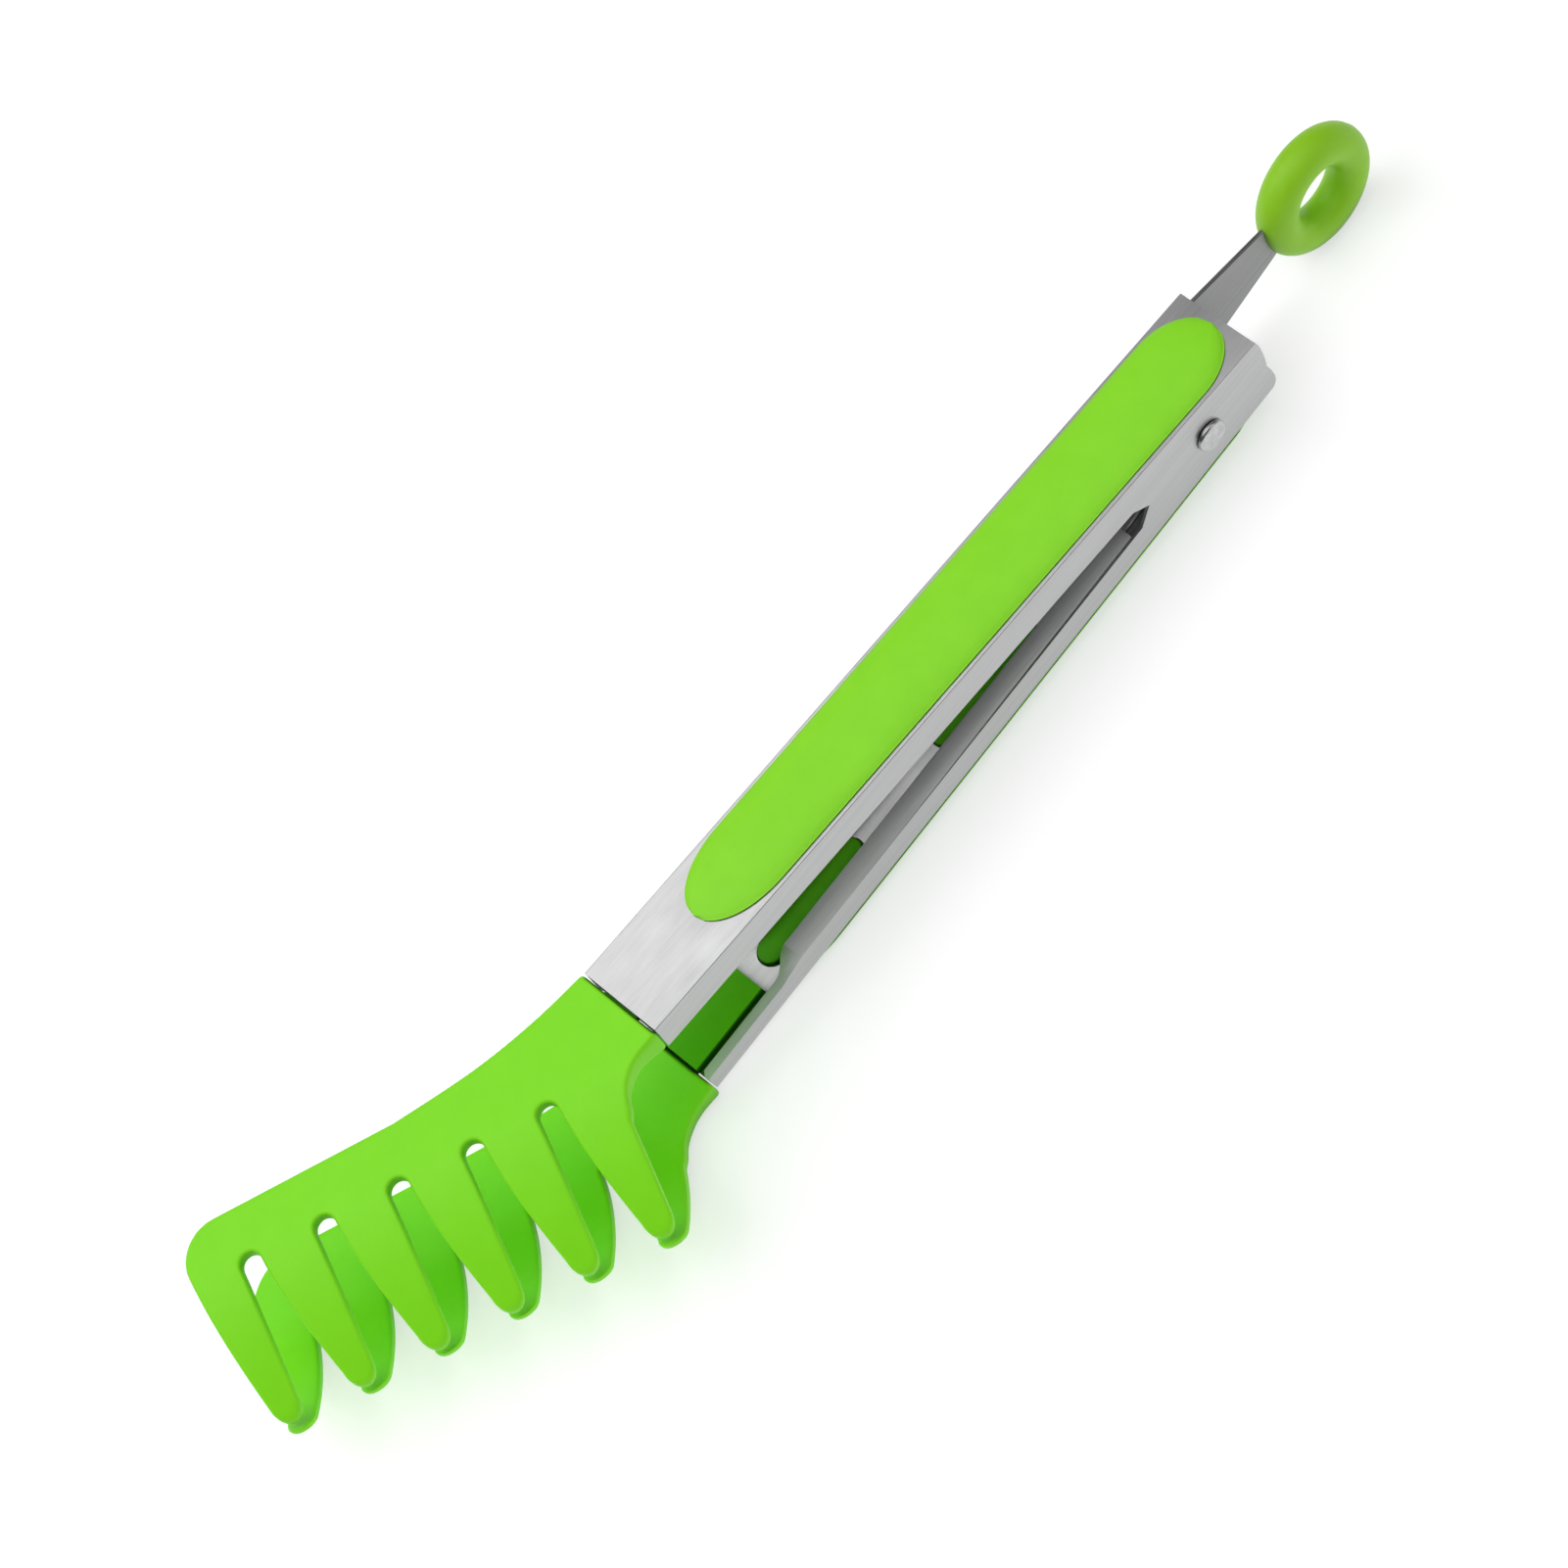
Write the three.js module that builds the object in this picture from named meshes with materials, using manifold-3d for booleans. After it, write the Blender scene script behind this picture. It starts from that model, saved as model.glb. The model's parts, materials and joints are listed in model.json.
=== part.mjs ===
// Locking spaghetti tongs: two nested steel channel arms on one rivet, a torsion spring,
// a wedge plate with a hanging ring that locks them shut, silicone grips and comb heads.
// Millimetres, +Z up. The tongs lie shut on the lower grip: X runs from the hinge to the combs,
// Y towards the side that the tines point to. The origin is under the middle of the whole part.
import * as THREE from 'three';
import { mergeVertices } from 'three/addons/utils/BufferGeometryUtils.js';
import Module from 'manifold-3d';

const wasm = await Module();
wasm.setup();

// Driving dimensions: arms
const SHEET = 0.7;               // steel sheet of both arms
const ARM_WIDTH = 20;            // upper arm, over its flanges
const ARM_LENGTH = 175.6;        // web of an arm, tail to comb end
const TAIL = 17.4;               // web behind the pivot
const WEB_HEIGHT = 10.1;         // pivot to the outer face of a web
const EAR_BELOW = 5.1;           // flange at the pivot, past the pin's axis
const EAR_FRONT = 11.6;          // where the ear starts to slope up
const EAR_SLOPE = 10.4;          // length of that slope
const EAR_TAIL_DROP = 5;         // straight part of the ear's tail end, from the web's outer face
const EAR_TAIL_RUN = 7;          // length of the rounded tail corner
const TAIL_LOBE = 0.5;           // flanges stand this far behind the upper web
const TAIL_CORNER = 3.4;         // rounded corner of the flanges' tail beside the web
const LOWER_TAIL_CUT = 1.2;      // the lower web stops this much short of the upper one
const UPPER_FLANGE = 7.8;
const LOWER_FLANGE = 6.2;
const LOWER_FLANGE_END = 4.7;    // lower flange beside the comb's tang
const FLANGE_STEP = 145.5;       // from the tail to where flange and lip step down
const FLANGE_STEP_RUN = 7;
const LIP_WIDTH = 4.2;           // folded lip, over the flange
const LIP_WIDTH_END = 1.9;       // the same beside the tang
const LIP_START = 24.6;          // from the pivot
const NEST_GAP = 0.25;           // between the upper and the lower arm's flanges
const SHUT_TILT = 2.65;          // degrees of each arm off the middle plane when shut
const LYING_TILT = 1.45;         // degrees nose down, so that ring and grip both touch the ground

// Driving dimensions: hinge
const PIN_RADIUS = 2;
const PIN_CLEARANCE = 0.06;
const RIVET_HEAD_RADIUS = 3.5;
const RIVET_HEAD_HEIGHT = 1.35;
const WASHER_RADIUS = 4;
const WASHER_THICKNESS = 0.8;
const BUSH_RADIUS = 3.1;
const WIRE_RADIUS = 0.6;
const COIL_RADIUS = 4.3;         // to the middle of the wire
const COIL_TURNS = 5;
const COIL_PITCH = 1.4;
const SPRING_LEG = 30;

// Driving dimensions: lock plate and ring
const PLATE = 1;                 // plate thickness
const TRAVEL = 13.5;             // how far the ring pushes in
const LOCK_SLACK = 0.6;          // under each web when locked, so the plate clears it as it slides in
const NECK_HALF = 4.7;           // half height of the plate where it enters the ring
const PLATE_NOSE = 6.2;          // plate in front of the pivot
const PLATE_NOSE_HALF = 5;
const SLOT_CLEARANCE = 0.2;
const RING_RADIUS = 10.1;        // to the middle of the ring's section
const RING_SECTION = 4.35;       // radius of that section
const RING_FROM_PIVOT = 51.8;
const RING_CORE = 1.4;           // half width of the steel eye inside the ring

// Driving dimensions: grips
const GRIP_START = 1.5;          // from the tail
const GRIP_LENGTH = 152.5;
const GRIP_WIDTH = 18.2;
const GRIP_THICKNESS = 1.9;
const GRIP_FLAT = 0.5;           // share of the grip's width that is flat, so it lies still
const BOSS_WIDTH = 6.6;
const BOSS_LENGTH = 31;
const BOSS_STARTS = [66, 120.5]; // from the tail
const BOSS_PROUD = 1.1;          // above the inside of the web

// Driving dimensions: comb heads, along the comb's spine and across it
const COMB_TURN = 26.7;          // degrees, spine against arm
const COMB_PITCH = 2.65;         // degrees, comb bent in from the web
const COMB_PLATE = 3.1;
const SPINE_WIDTH = 12;          // back edge to slot roots
const TINE_PITCH = 16.25;
const FIRST_TINE = 12.6;         // middle of the first tine along the spine
const TINES = 6;
const TINE_END = 40.8;           // tips, measured across the spine from its back edge
const SLOT_WIDTH = 4.5;
const TIP_HALF = 3;
const TIP_PLATE = 2.2;           // thickness at the tips
const TINE_DROP = 14.6;          // how far the tips curl towards the other comb
const CURL_POWER = 1.7;
const TINE_LEAN = 2.4;           // how far the tips lean back along the spine
const LAST_TINE_TRIM = 2.1;      // the last tine is narrower by this on its outer side
const COMB_PROUD = 0.7;          // comb block past the upper arm's flanges on each side
const CORNER_RADIUS = 8.5;
const BACK_RISE = 1.9;           // the back edge comes in by this at the far corner
const UPPER_ROOT_DEPTH = 7.6;    // comb block against the arm's end
const LOWER_ROOT_DEPTH = 5.2;
const ROOT_RUN = 15;             // the block thins to the plate over this length
const TANG_LENGTH = 20.4;
const TANG_HEIGHT = 4.8;
const TANG_SIDE_GAP = 2.3;       // tang sides to the flange's inner face, above the lip
const TONGUE_LENGTH = 12;
const TONGUE_WIDTH = 9;
const TONGUE_THICKNESS = 1.5;
const SKIN = 1.1;                // comb silicone over the tongue

const GAP = 0.3;                 // between pieces that touch

// Worked out from the above
const LOWER_WIDTH = ARM_WIDTH - 2 * (SHEET + NEST_GAP);
const ARM_FRONT = ARM_LENGTH - TAIL;
const WEB_INSIDE = WEB_HEIGHT - SHEET;
const EAR_DEPTH = WEB_HEIGHT + EAR_BELOW;
const SHUT = THREE.MathUtils.degToRad(SHUT_TILT);
const LOWER_INSIDE = LOWER_WIDTH / 2 - SHEET;
const PLATE_Y = -(LOWER_INSIDE - GAP) + PLATE / 2;

const colours = {
  steel: { color: 0xb9b9bd, roughness: 0.32, metalness: 1 },
  rivet: { color: 0xa9a9ad, roughness: 0.3, metalness: 1 },
  wire: { color: 0x9a9a9e, roughness: 0.35, metalness: 1 },
  silicone: { color: 0x83dc32, roughness: 0.55, metalness: 0 },
  ring: { color: 0x7fc31e, roughness: 0.5, metalness: 0 },
  nylon: { color: 0x4f9b12, roughness: 0.5, metalness: 0 },
};

// ---- helpers ---------------------------------------------------------------------------

// A closed three.js geometry as a solid.
function solid(geometry) {
  const bare = geometry.clone();
  bare.deleteAttribute('normal');
  bare.deleteAttribute('uv');
  const merged = mergeVertices(bare, 1e-4);
  return new wasm.Manifold(new wasm.Mesh({
    numProp: 3,
    vertProperties: new Float32Array(merged.attributes.position.array),
    triVerts: new Uint32Array(merged.index.array),
  }));
}

function piece(name, body, finish) {
  const mesh = body.getMesh();
  const geometry = new THREE.BufferGeometry();
  geometry.setAttribute('position', new THREE.BufferAttribute(mesh.vertProperties, 3));
  geometry.setIndex(new THREE.BufferAttribute(mesh.triVerts, 1));
  geometry.computeVertexNormals();
  const result = new THREE.Mesh(geometry, new THREE.MeshStandardMaterial(finish));
  result.name = name;
  return result;
}

function join(bodies) {
  return bodies.reduce((sum, body) => sum.add(body));
}

function outline(points) {
  return new THREE.Shape(points.map(([x, y]) => new THREE.Vector2(x, y)));
}

// A flat outline in XY, from z = low to z = high.
function slab(shape, low, high, segments = 12) {
  const geometry = new THREE.ExtrudeGeometry(shape, {
    depth: high - low, bevelEnabled: false, curveSegments: segments,
  });
  return solid(geometry.translate(0, 0, low));
}

// A side outline in XZ, from y = low to y = high.
function cheek(shape, low, high, segments = 12) {
  const geometry = new THREE.ExtrudeGeometry(shape, {
    depth: high - low, bevelEnabled: false, curveSegments: segments,
  });
  return solid(geometry.rotateX(Math.PI / 2).translate(0, high, 0));
}

function box(x0, x1, y0, y1, z0, z1) {
  const geometry = new THREE.BoxGeometry(x1 - x0, y1 - y0, z1 - z0);
  return geometry.translate((x0 + x1) / 2, (y0 + y1) / 2, (z0 + z1) / 2);
}

function block(x0, x1, y0, y1, z0, z1) {
  return solid(box(x0, x1, y0, y1, z0, z1));
}

// A rod along Y.
function rod(radius, low, high, x = 0, z = 0, sides = 32) {
  const geometry = new THREE.CylinderGeometry(radius, radius, high - low, sides);
  return solid(geometry.translate(x, (low + high) / 2, z));
}

// A lathed profile of [radius, y] points around the Y axis.
function turned(points, sides = 32) {
  return solid(new THREE.LatheGeometry(points.map(([r, y]) => new THREE.Vector2(r, y)), sides));
}

// A round-ended bar outline in XY.
function stadium(x0, x1, halfWidth) {
  const shape = new THREE.Shape();
  shape.moveTo(x0 + halfWidth, -halfWidth);
  shape.lineTo(x1 - halfWidth, -halfWidth);
  shape.absarc(x1 - halfWidth, 0, halfWidth, -Math.PI / 2, Math.PI / 2);
  shape.lineTo(x0 + halfWidth, halfWidth);
  shape.absarc(x0 + halfWidth, 0, halfWidth, Math.PI / 2, 1.5 * Math.PI);
  return shape;
}

// ---- arms: X from the pivot to the comb, Z from the pivot out to the web ---------------

// Side outline of a flange: ear, slope up, straight run and the step beside the tang.
function flangeOutline(depth, endDepth, tailCut) {
  const webEnd = -TAIL + tailCut;
  const tail = -TAIL - TAIL_LOBE;
  const step = FLANGE_STEP - TAIL;
  const shape = new THREE.Shape();
  shape.moveTo(webEnd, WEB_HEIGHT);
  shape.lineTo(webEnd, WEB_HEIGHT - 0.25);
  shape.bezierCurveTo((webEnd + tail) / 2, WEB_HEIGHT - 0.45, tail, WEB_HEIGHT - TAIL_CORNER / 2,
    tail, WEB_HEIGHT - TAIL_CORNER);
  shape.lineTo(tail, WEB_HEIGHT - EAR_TAIL_DROP);
  shape.bezierCurveTo(tail + 0.3, -1.5, tail + 2.2, WEB_HEIGHT - EAR_DEPTH,
    tail + EAR_TAIL_RUN, WEB_HEIGHT - EAR_DEPTH);
  shape.lineTo(EAR_FRONT, WEB_HEIGHT - EAR_DEPTH);
  shape.lineTo(EAR_FRONT + EAR_SLOPE, WEB_HEIGHT - depth);
  shape.lineTo(step, WEB_HEIGHT - depth);
  shape.lineTo(step + FLANGE_STEP_RUN, WEB_HEIGHT - endDepth);
  shape.lineTo(ARM_FRONT, WEB_HEIGHT - endDepth);
  shape.lineTo(ARM_FRONT, WEB_HEIGHT);
  return shape;
}

// The folded lip as seen from above, on the +Y flange.
function lipOutline(half) {
  const step = FLANGE_STEP - TAIL;
  const inner = half - LIP_WIDTH;
  const innerEnd = half - LIP_WIDTH_END;
  const shape = new THREE.Shape();
  shape.moveTo(LIP_START, half);
  shape.lineTo(LIP_START, inner + 1);
  shape.lineTo(LIP_START + 1, inner);
  shape.lineTo(step, inner);
  shape.bezierCurveTo(step + FLANGE_STEP_RUN / 2, inner, step + FLANGE_STEP_RUN / 2, innerEnd,
    step + FLANGE_STEP_RUN, innerEnd);
  shape.lineTo(ARM_FRONT - 1, innerEnd);
  shape.lineTo(ARM_FRONT, innerEnd + 1);
  shape.lineTo(ARM_FRONT, half);
  return shape;
}

function arm(width, depth, endDepth, tailCut) {
  const half = width / 2;
  const web = block(-TAIL + tailCut, ARM_FRONT, -half, half, WEB_INSIDE, WEB_HEIGHT);
  const flanges = [];
  for (const side of [-1, 1]) {
    const inner = side * (half - SHEET);
    const outer = side * half;
    flanges.push(cheek(flangeOutline(depth, endDepth, tailCut), Math.min(inner, outer),
      Math.max(inner, outer)));
    const lipShape = lipOutline(half);
    const lowLip = slab(lipShape, WEB_HEIGHT - depth, WEB_HEIGHT - depth + SHEET);
    const highLip = slab(lipShape, WEB_HEIGHT - endDepth, WEB_HEIGHT - endDepth + SHEET);
    const step = FLANGE_STEP - TAIL;
    const front = block(step + FLANGE_STEP_RUN, ARM_FRONT, -half, half, -20, 20);
    const back = block(-TAIL, step, -half, half, -20, 20);
    const ramp = cheek(outline([
      [step, WEB_HEIGHT - depth],
      [step + FLANGE_STEP_RUN, WEB_HEIGHT - endDepth],
      [step + FLANGE_STEP_RUN, WEB_HEIGHT - endDepth + SHEET],
      [step, WEB_HEIGHT - depth + SHEET],
    ]), -half, half).intersect(slab(lipShape, -20, 20));
    const lip = join([lowLip.intersect(back), ramp, highLip.intersect(front)]);
    flanges.push(side > 0 ? lip : lip.mirror([0, 1, 0]));
  }
  let body = join([web, ...flanges]);
  for (const start of BOSS_STARTS) {
    const from = start - TAIL;
    const slot = stadium(from, from + BOSS_LENGTH, BOSS_WIDTH / 2);
    body = body.subtract(slab(slot, WEB_INSIDE - 1, WEB_HEIGHT + 1));
  }
  return body.subtract(rod(PIN_RADIUS + PIN_CLEARANCE, -half - 1, half + 1));
}

// Silicone grip on the outside of a web: crowned, round-ended, with two bosses in the slots.
function grip() {
  const from = GRIP_START - TAIL;
  const half = GRIP_WIDTH / 2;
  const geometry = new THREE.BoxGeometry(1, 1, 1, 36, 8, 1);
  const place = geometry.attributes.position;
  const endRun = 16;
  for (let i = 0; i < place.count; i += 1) {
    const along = (place.getX(i) + 0.5) * GRIP_LENGTH;
    const toEnd = Math.min(along, GRIP_LENGTH - along, endRun) / endRun;
    const width = half * Math.max(0.12, Math.sqrt(1 - (1 - toEnd) ** 2));
    const across = place.getY(i) * 2;
    const edge = Math.max(0, Math.abs(across) - GRIP_FLAT) / (1 - GRIP_FLAT);
    const crown = 1 - 0.45 * edge ** 2;
    const rise = place.getZ(i) > 0 ? GRIP_THICKNESS * crown * Math.min(1, 0.45 + toEnd) : 0;
    place.setXYZ(i, from + along, across * width, WEB_HEIGHT + GAP + rise - GAP * crown * 0.5);
  }
  for (let i = 0; i < place.count; i += 1) {
    if (place.getZ(i) < WEB_HEIGHT + GAP) {
      place.setZ(i, WEB_HEIGHT + GAP / 2);
    }
  }
  const pad = solid(geometry);
  const bosses = BOSS_STARTS.map((start) => {
    const x0 = start - TAIL + GAP;
    const x1 = start - TAIL + BOSS_LENGTH - GAP;
    return slab(stadium(x0, x1, BOSS_WIDTH / 2 - GAP), WEB_INSIDE - BOSS_PROUD, WEB_HEIGHT + 1);
  });
  return join([pad, ...bosses]);
}

// ---- combs: the arm's frame, carried on past the arm's end ------------------------------

const turn = THREE.MathUtils.degToRad(COMB_TURN);

// A place on the comb, given along and across its spine, in the arm's X and Y.
function combPoint(along, across) {
  return [
    ARM_FRONT + along * Math.cos(turn) + across * Math.sin(turn),
    -along * Math.sin(turn) + across * Math.cos(turn),
  ];
}

function acrossSpine(x, y) {
  return (x - ARM_FRONT) * Math.sin(turn) + y * Math.cos(turn);
}

// How far the comb has curled towards the other one at a distance across the spine.
function curl(across) {
  const run = Math.max(0, across - SPINE_WIDTH) / (TINE_END - SPINE_WIDTH);
  return TINE_DROP * run ** CURL_POWER;
}

function bend(geometry) {
  const place = geometry.attributes.position;
  const pitch = Math.tan(THREE.MathUtils.degToRad(COMB_PITCH));
  for (let i = 0; i < place.count; i += 1) {
    const x = place.getX(i);
    const drop = curl(acrossSpine(x, place.getY(i))) + Math.max(0, x - ARM_FRONT) * pitch;
    place.setZ(i, place.getZ(i) - drop);
  }
  return geometry;
}

function spineShape(half) {
  const tineHalf = (TINE_PITCH - SLOT_WIDTH) / 2;
  const lastEdge = FIRST_TINE + (TINES - 1) * TINE_PITCH + tineHalf - LAST_TINE_TRIM;
  const front = SPINE_WIDTH + SLOT_WIDTH / 2;
  const back = [[ARM_FRONT + GAP, -half]];
  for (const [along, across] of [[17.5, -4.8], [32, -1.3], [50, 1.1]]) {
    back.push(combPoint(along, across));
  }
  const points = new THREE.SplineCurve(back.map(([x, y]) => new THREE.Vector2(x, y)))
    .getPoints(18).map((p) => [p.x, p.y]);
  const corner = 8;
  for (let i = 0; i <= corner; i += 1) {
    const angle = (i / corner) * Math.PI / 2;
    points.push(combPoint(lastEdge - CORNER_RADIUS * (1 - Math.sin(angle)),
      BACK_RISE + CORNER_RADIUS * (1 - Math.cos(angle))));
  }
  points.push(combPoint(lastEdge, front));
  points.push(combPoint(FIRST_TINE, front));
  points.push(combPoint(FIRST_TINE, front + 9));
  const near = [combPoint(FIRST_TINE - tineHalf + 1, front + 9), combPoint(FIRST_TINE - 8, 17),
    combPoint(1.2, 12.6), [ARM_FRONT + GAP, half]];
  for (const p of new THREE.SplineCurve(near.map(([x, y]) => new THREE.Vector2(x, y))).getPoints(12)) {
    points.push([p.x, p.y]);
  }
  return outline(points);
}

// One tine: a tapering, round-ended strip that starts inside the spine.
function tine(middle, halfIn, halfOut) {
  const steps = 12;
  const geometry = new THREE.BoxGeometry(1, 1, 1, 4, steps, 1);
  const place = geometry.attributes.position;
  const start = SPINE_WIDTH + SLOT_WIDTH / 2 - 1;
  for (let i = 0; i < place.count; i += 1) {
    const run = place.getY(i) + 0.5;
    const across = start + (TINE_END - start) * (1 - (1 - run) ** 1.4);
    const toTip = TINE_END - across;
    const side = place.getX(i) * 2;
    const rootHalf = side < 0 ? halfIn : halfOut;
    const taper = TIP_HALF + (rootHalf - TIP_HALF) * (1 - ((across - start) / (TINE_END - start)) ** 1.5);
    const round = toTip < TIP_HALF ? Math.sqrt(Math.max(0.02, 1 - (1 - toTip / TIP_HALF) ** 2)) : 1;
    const lean = TINE_LEAN * (across - start) / (TINE_END - start);
    const [x, y] = combPoint(middle + side * taper * round - lean, across);
    const thick = COMB_PLATE + (TIP_PLATE - COMB_PLATE) * (across - start) / (TINE_END - start);
    place.setXYZ(i, x, y, WEB_HEIGHT - thick * (0.5 - place.getZ(i)));
  }
  return solid(bend(geometry));
}

function comb(rootDepth) {
  const shape = spineShape(ARM_WIDTH / 2 + COMB_PROUD);
  const plate = new THREE.ExtrudeGeometry(shape, { depth: COMB_PLATE, bevelEnabled: false });
  let body = solid(bend(plate.translate(0, 0, WEB_HEIGHT - COMB_PLATE)));
  const tineHalf = (TINE_PITCH - SLOT_WIDTH) / 2;
  for (let i = 0; i < TINES; i += 1) {
    const middle = FIRST_TINE + i * TINE_PITCH;
    const trim = i === TINES - 1 ? LAST_TINE_TRIM : 0;
    body = body.add(tine(middle, tineHalf - 0.06, tineHalf - 0.06 - trim));
  }
  for (let i = 0; i < TINES - 1; i += 1) {
    const [x, y] = combPoint(FIRST_TINE + (i + 0.5) * TINE_PITCH, SPINE_WIDTH + SLOT_WIDTH / 2);
    const cutter = new THREE.CylinderGeometry(SLOT_WIDTH / 2, SLOT_WIDTH / 2, 12, 20);
    body = body.subtract(solid(cutter.rotateX(Math.PI / 2).translate(x, y, WEB_HEIGHT)));
  }
  const pitchDrop = ROOT_RUN * Math.tan(THREE.MathUtils.degToRad(COMB_PITCH));
  const wedge = cheek(outline([
    [ARM_FRONT + GAP, WEB_HEIGHT - rootDepth],
    [ARM_FRONT + ROOT_RUN, WEB_HEIGHT - COMB_PLATE + 0.4 - pitchDrop],
    [ARM_FRONT + ROOT_RUN, WEB_HEIGHT - 0.4 - pitchDrop],
    [ARM_FRONT + GAP, WEB_HEIGHT - 0.4],
  ]), -40, 40);
  body = body.add(wedge.intersect(slab(shape, -5, WEB_HEIGHT - 0.4)));
  return body.subtract(tongue(GAP));
}

// The tongue of the tang, or with a gap around it the pocket that it sits in.
function tongue(gap) {
  const top = WEB_HEIGHT - SKIN + gap;
  const half = TONGUE_WIDTH / 2 + gap;
  const geometry = box(0, 1, -half, half, top - TONGUE_THICKNESS - 2 * gap, top);
  const place = geometry.attributes.position;
  for (let i = 0; i < place.count; i += 1) {
    place.setX(i, place.getX(i) > 0.5 ? ARM_FRONT + TONGUE_LENGTH + gap : ARM_FRONT - GAP);
  }
  return solid(bend(geometry));
}

// Nylon tang that the comb is moulded onto: a block in the channel and a tongue in the comb.
function tang(half, depth) {
  const inside = half - SHEET - GAP;
  const lipTop = WEB_HEIGHT - depth + SHEET + GAP;
  const top = WEB_INSIDE - GAP;
  const wide = block(ARM_FRONT - TANG_LENGTH, ARM_FRONT - GAP / 2, -inside, inside, lipTop, top);
  const high = half - SHEET - TANG_SIDE_GAP;
  const narrow = block(ARM_FRONT - TANG_LENGTH, ARM_FRONT - GAP / 2, -high, high,
    top - TANG_HEIGHT, top);
  return join([wide, narrow, tongue(0)]);
}

// ---- hinge ------------------------------------------------------------------------------

function hingePin() {
  const near = ARM_WIDTH / 2 + GAP / 2;
  const far = -(ARM_WIDTH / 2 + GAP / 2 + WASHER_THICKNESS + GAP / 2);
  const points = [[0, far - 1], [2.2, far - 0.8], [2.7, far - 0.3], [2.7, far], [PIN_RADIUS, far],
    [PIN_RADIUS, near], [RIVET_HEAD_RADIUS, near], [RIVET_HEAD_RADIUS, near + 0.35]];
  const dome = 6;
  for (let i = 1; i <= dome; i += 1) {
    const angle = (i / dome) * Math.PI / 2;
    points.push([RIVET_HEAD_RADIUS * Math.cos(angle),
      near + 0.35 + (RIVET_HEAD_HEIGHT - 0.35) * Math.sin(angle)]);
  }
  points[points.length - 1][0] = 0;
  return turned(points);
}

function washer() {
  const near = -(ARM_WIDTH / 2 + GAP / 2);
  const hole = PIN_RADIUS + PIN_CLEARANCE;
  return turned([[hole, near - WASHER_THICKNESS], [WASHER_RADIUS, near - WASHER_THICKNESS],
    [WASHER_RADIUS, near], [hole, near], [hole, near - WASHER_THICKNESS]]);
}

const bushFar = PLATE_Y + PLATE / 2 + GAP;
const bushNear = LOWER_INSIDE - GAP;

function bush() {
  const hole = PIN_RADIUS + PIN_CLEARANCE;
  return turned([[hole, bushFar], [BUSH_RADIUS, bushFar], [BUSH_RADIUS, bushNear],
    [hole, bushNear], [hole, bushFar]]);
}

// One wire: a leg under the upper web, the coil around the bush, a leg on the lower web.
function spring() {
  const middle = (bushFar + bushNear) / 2;
  const half = (COIL_TURNS + 0.5) * COIL_PITCH / 2;
  const legHeight = (WEB_INSIDE - GAP - WIRE_RADIUS) / Math.cos(SHUT) + SPRING_LEG * Math.tan(SHUT);
  const points = [];
  const legSteps = 5;
  for (let i = 0; i < legSteps; i += 1) {
    const run = 1 - i / legSteps;
    points.push(new THREE.Vector3(SPRING_LEG * run, middle - half,
      COIL_RADIUS + (legHeight - COIL_RADIUS) * run));
  }
  const steps = Math.round((COIL_TURNS + 0.5) * 14);
  for (let i = 0; i <= steps; i += 1) {
    const share = i / steps;
    const angle = Math.PI / 2 + share * (COIL_TURNS + 0.5) * 2 * Math.PI;
    points.push(new THREE.Vector3(COIL_RADIUS * Math.cos(angle), middle - half + 2 * half * share,
      COIL_RADIUS * Math.sin(angle)));
  }
  for (let i = 1; i <= legSteps; i += 1) {
    const run = i / legSteps;
    points.push(new THREE.Vector3(SPRING_LEG * run, middle + half,
      -(COIL_RADIUS + (legHeight - COIL_RADIUS) * run)));
  }
  const section = new THREE.Shape();
  section.absarc(0, 0, WIRE_RADIUS, 0, 2 * Math.PI);
  return solid(new THREE.ExtrudeGeometry(section, {
    steps: points.length,
    bevelEnabled: false,
    curveSegments: 4,
    extrudePath: new THREE.CatmullRomCurve3(points),
  }));
}

// ---- lock plate and hanging ring: X from the pivot, Z from the middle plane --------------

const tailHeight = WEB_INSIDE * Math.cos(SHUT) - TAIL * Math.sin(SHUT) - LOCK_SLACK;

function lockPlate(grow) {
  const tail = -TAIL - 0.5;
  const neck = -(RING_FROM_PIVOT - RING_RADIUS - RING_SECTION);
  const slope = (tailHeight - NECK_HALF) / (tail - neck);
  const inRing = -(RING_FROM_PIVOT - RING_RADIUS);
  const low = NECK_HALF - slope * (neck - inRing) - 0.4;
  const nose = PLATE_NOSE;
  const side = [[inRing, low], [neck, NECK_HALF], [tail, tailHeight], [tail + 7, tailHeight],
    [tail + 14, PLATE_NOSE_HALF + 0.6], [nose - 2.5, PLATE_NOSE_HALF], [nose, PLATE_NOSE_HALF - 2.5]];
  const body = side.map(([x, z]) => [x, -z - grow]);
  for (const [x, z] of side.slice().reverse()) {
    body.push([x, z + grow]);
  }
  const y0 = PLATE_Y - PLATE / 2 - grow;
  const y1 = PLATE_Y + PLATE / 2 + grow;
  const tongue = cheek(outline(body), y0, y1);
  const eye = rod(RING_RADIUS + RING_CORE + grow, y0, y1, -RING_FROM_PIVOT, 0, 40)
    .subtract(rod(RING_RADIUS - RING_CORE - grow, y0 - 1, y1 + 1, -RING_FROM_PIVOT, 0, 40));
  const slotHalf = PIN_RADIUS + SLOT_CLEARANCE;
  const slot = cheek(stadium(-TRAVEL - slotHalf, slotHalf, slotHalf), y0 - 1, y1 + 1);
  const hole = rod(RING_RADIUS - RING_CORE - grow, y0 - 1, y1 + 1, -RING_FROM_PIVOT, 0, 40);
  return tongue.add(eye).subtract(hole).subtract(slot);
}

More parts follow.
